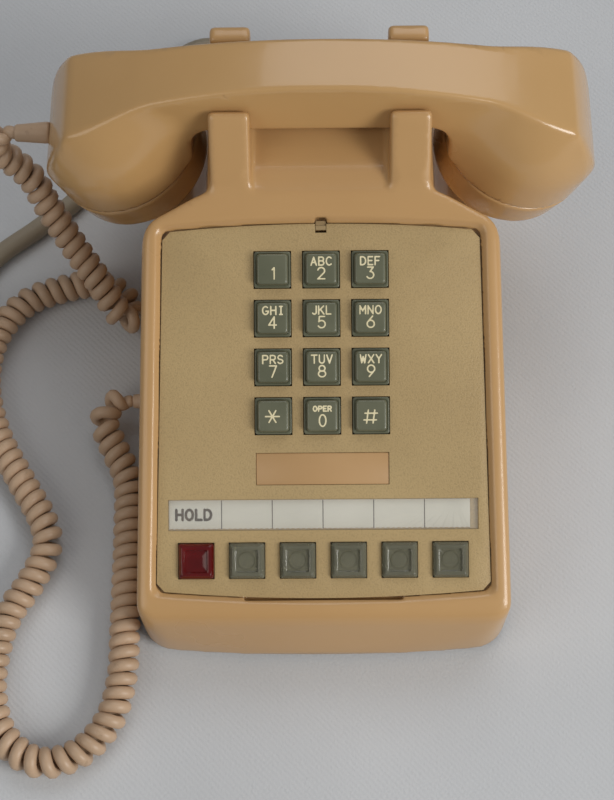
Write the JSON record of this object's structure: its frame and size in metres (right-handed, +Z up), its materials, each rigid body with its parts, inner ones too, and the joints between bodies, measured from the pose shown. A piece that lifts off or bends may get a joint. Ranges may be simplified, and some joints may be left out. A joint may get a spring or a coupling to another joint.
{
  "type": "corded desk telephone",
  "caption": "Corded desk telephone: sloped housing with push-button dial and line keys, handset across the cradle, coiled handset cord and a thick line cable.",
  "frame": {"origin": "on the table plane at the soles of the rubber feet, under the middle of the telephone, with the handset in its cradle", "axes": "+Z up, +X to the user's right, along the handset, and the user's side faces -Y"},
  "size_m": [0.4021, 0.3465, 0.1309],
  "materials": {
    "plated_steel": "zinc plated sheet",
    "foot_rubber": "moulded rubber",
    "beige_shell": "glossy moulded thermoplastic",
    "khaki_plate": "fine pebble texture",
    "dark_plastic": "moulded",
    "tan_badge": "smooth satin",
    "paper": "printed paper strip",
    "clear_window": "clear plastic",
    "board_brown": "phenolic board",
    "contact_brass": "spring brass",
    "lamp_glass": "small lamps",
    "coil_wire": "wrapped winding",
    "gong_brass": "satin brass",
    "grey_plastic": "moulded block",
    "cord_tan": "satin vinyl",
    "cable_grey": "satin vinyl",
    "plug_grey": "moulded hood",
    "unit_metal": "satin",
    "clear_plunger": "translucent plastic",
    "key_olive": "satin moulded",
    "clear_key": "clear grey-green plastic",
    "hold_red": "deep red plastic"
  },
  "bodies": {
    "base": {"base_plate": "plated_steel", "base_feet": "foot_rubber", "housing": "beige_shell", "housing_screws": "plated_steel", "faceplate": "khaki_plate", "faceplate_latch": "dark_plastic", "badge_plate": "tan_badge", "designation_strip": "paper", "strip_window": "clear_window", "set_bracket": "plated_steel", "dial_frame": "dark_plastic", "dial_board": "board_brown", "dial_springs": "contact_brass", "line_key_frame": "plated_steel", "line_lamps": "lamp_glass", "line_contacts": "contact_brass", "hook_frame": "plated_steel", "hook_contacts": "contact_brass", "ringer_frame": "plated_steel", "ringer_coil": "coil_wire", "gongs": "gong_brass", "network_block": "grey_plastic", "terminal_board": "board_brown", "handset_cord": "cord_tan", "base_cord_boot": "cord_tan", "line_cable": "cable_grey", "line_cable_coil": "cable_grey", "line_cable_boot": "cable_grey", "line_plug": "plug_grey"},
    "handset": {"handset_shell": "beige_shell", "ear_cap": "beige_shell", "mouth_cap": "beige_shell", "receiver_unit": "unit_metal", "transmitter_unit": "unit_metal", "transmitter_cup": "dark_plastic", "handset_cord_boot": "cord_tan"},
    "key_1": {"key_1": "key_olive"},
    "key_2": {"key_2": "key_olive"},
    "key_3": {"key_3": "key_olive"},
    "key_4": {"key_4": "key_olive"},
    "key_5": {"key_5": "key_olive"},
    "key_6": {"key_6": "key_olive"},
    "key_7": {"key_7": "key_olive"},
    "key_8": {"key_8": "key_olive"},
    "key_9": {"key_9": "key_olive"},
    "key_star": {"key_star": "key_olive"},
    "key_0": {"key_0": "key_olive"},
    "key_pound": {"key_pound": "key_olive"},
    "hold_key": {"hold_key": "hold_red"},
    "line_key_1": {"line_key_1": "clear_key"},
    "line_key_2": {"line_key_2": "clear_key"},
    "line_key_3": {"line_key_3": "clear_key"},
    "line_key_4": {"line_key_4": "clear_key"},
    "line_key_5": {"line_key_5": "clear_key"},
    "hook_plunger_left": {"hook_plunger_left": "clear_plunger"},
    "hook_plunger_right": {"hook_plunger_right": "clear_plunger"},
    "hook_lever": {"hook_lever": "plated_steel"},
    "clapper": {"clapper": "plated_steel"},
    "volume_wheel": {"volume_wheel": "dark_plastic"},
    "latch_bar": {"latch_bar": "plated_steel"}
  },
  "joints": [
    {"name": "handset_lift", "type": "slide", "parent": "base", "child": "handset", "axis": [0, 0, 1], "range_m": [0, 0.09]},
    {"name": "key_1_press", "type": "slide", "parent": "base", "child": "key_1", "axis": [0, 0.3584, -0.9336], "range_m": [0, 0.003], "stiffness_N_per_m": 200, "springref_m": -0.003},
    {"name": "key_2_press", "type": "slide", "parent": "base", "child": "key_2", "axis": [0, 0.3584, -0.9336], "range_m": [0, 0.003], "stiffness_N_per_m": 200, "springref_m": -0.003},
    {"name": "key_3_press", "type": "slide", "parent": "base", "child": "key_3", "axis": [0, 0.3584, -0.9336], "range_m": [0, 0.003], "stiffness_N_per_m": 200, "springref_m": -0.003},
    {"name": "key_4_press", "type": "slide", "parent": "base", "child": "key_4", "axis": [0, 0.3584, -0.9336], "range_m": [0, 0.003], "stiffness_N_per_m": 200, "springref_m": -0.003},
    {"name": "key_5_press", "type": "slide", "parent": "base", "child": "key_5", "axis": [0, 0.3584, -0.9336], "range_m": [0, 0.003], "stiffness_N_per_m": 200, "springref_m": -0.003},
    {"name": "key_6_press", "type": "slide", "parent": "base", "child": "key_6", "axis": [0, 0.3584, -0.9336], "range_m": [0, 0.003], "stiffness_N_per_m": 200, "springref_m": -0.003},
    {"name": "key_7_press", "type": "slide", "parent": "base", "child": "key_7", "axis": [0, 0.3584, -0.9336], "range_m": [0, 0.003], "stiffness_N_per_m": 200, "springref_m": -0.003},
    {"name": "key_8_press", "type": "slide", "parent": "base", "child": "key_8", "axis": [0, 0.3584, -0.9336], "range_m": [0, 0.003], "stiffness_N_per_m": 200, "springref_m": -0.003},
    {"name": "key_9_press", "type": "slide", "parent": "base", "child": "key_9", "axis": [0, 0.3584, -0.9336], "range_m": [0, 0.003], "stiffness_N_per_m": 200, "springref_m": -0.003},
    {"name": "key_star_press", "type": "slide", "parent": "base", "child": "key_star", "axis": [0, 0.3584, -0.9336], "range_m": [0, 0.003], "stiffness_N_per_m": 200, "springref_m": -0.003},
    {"name": "key_0_press", "type": "slide", "parent": "base", "child": "key_0", "axis": [0, 0.3584, -0.9336], "range_m": [0, 0.003], "stiffness_N_per_m": 200, "springref_m": -0.003},
    {"name": "key_pound_press", "type": "slide", "parent": "base", "child": "key_pound", "axis": [0, 0.3584, -0.9336], "range_m": [0, 0.003], "stiffness_N_per_m": 200, "springref_m": -0.003},
    {"name": "hold_key_press", "type": "slide", "parent": "base", "child": "hold_key", "axis": [0, 0.3584, -0.9336], "range_m": [0, 0.004], "stiffness_N_per_m": 200, "springref_m": -0.003},
    {"name": "line_key_1_press", "type": "slide", "parent": "base", "child": "line_key_1", "axis": [0, 0.3584, -0.9336], "range_m": [0, 0.004], "stiffness_N_per_m": 200, "springref_m": -0.003},
    {"name": "line_key_2_press", "type": "slide", "parent": "base", "child": "line_key_2", "axis": [0, 0.3584, -0.9336], "range_m": [0, 0.004], "stiffness_N_per_m": 200, "springref_m": -0.003},
    {"name": "line_key_3_press", "type": "slide", "parent": "base", "child": "line_key_3", "axis": [0, 0.3584, -0.9336], "range_m": [0, 0.004], "stiffness_N_per_m": 200, "springref_m": -0.003},
    {"name": "line_key_4_press", "type": "slide", "parent": "base", "child": "line_key_4", "axis": [0, 0.3584, -0.9336], "range_m": [0, 0.004], "stiffness_N_per_m": 200, "springref_m": -0.003},
    {"name": "line_key_5_press", "type": "slide", "parent": "base", "child": "line_key_5", "axis": [0, 0.3584, -0.9336], "range_m": [0, 0.004], "stiffness_N_per_m": 200, "springref_m": -0.003},
    {"name": "hook_plunger_left_rise", "type": "slide", "parent": "base", "child": "hook_plunger_left", "axis": [0, 0, 1], "range_m": [0, 0.006], "stiffness_N_per_m": 60, "springref_m": 0.012},
    {"name": "hook_plunger_right_rise", "type": "slide", "parent": "base", "child": "hook_plunger_right", "axis": [0, 0, 1], "range_m": [0, 0.006], "stiffness_N_per_m": 60, "springref_m": 0.012},
    {"name": "hook_lever_swing", "type": "hinge", "parent": "base", "child": "hook_lever", "pos_m": [0, 0.04945, 0.07992], "axis": [1, 0, 0], "range_deg": [0, 10.8]},
    {"name": "clapper_swing", "type": "hinge", "parent": "base", "child": "clapper", "pos_m": [0, 0.04635, 0.0295], "axis": [0, 0, 1], "range_deg": [-9, 9], "stiffness_Nm_per_rad": 0.004},
    {"name": "volume_wheel_turn", "type": "hinge", "parent": "base", "child": "volume_wheel", "pos_m": [0.062, 0.05335, 0.0138], "axis": [1, 0, 0], "range_deg": [-45, 45]},
    {"name": "latch_bar_slide", "type": "slide", "parent": "base", "child": "latch_bar", "axis": [1, 0, 0], "range_m": [-0.0015, 0.0015], "stiffness_N_per_m": 200}
  ],
  "couplings": [
    {"joint": "hook_plunger_left_rise", "follows": "handset_lift", "ratio": 0.066667},
    {"joint": "hook_plunger_right_rise", "follows": "handset_lift", "ratio": 0.066667},
    {"joint": "hook_lever_swing", "follows": "handset_lift", "rad_per_m": 2.0925}
  ]
}
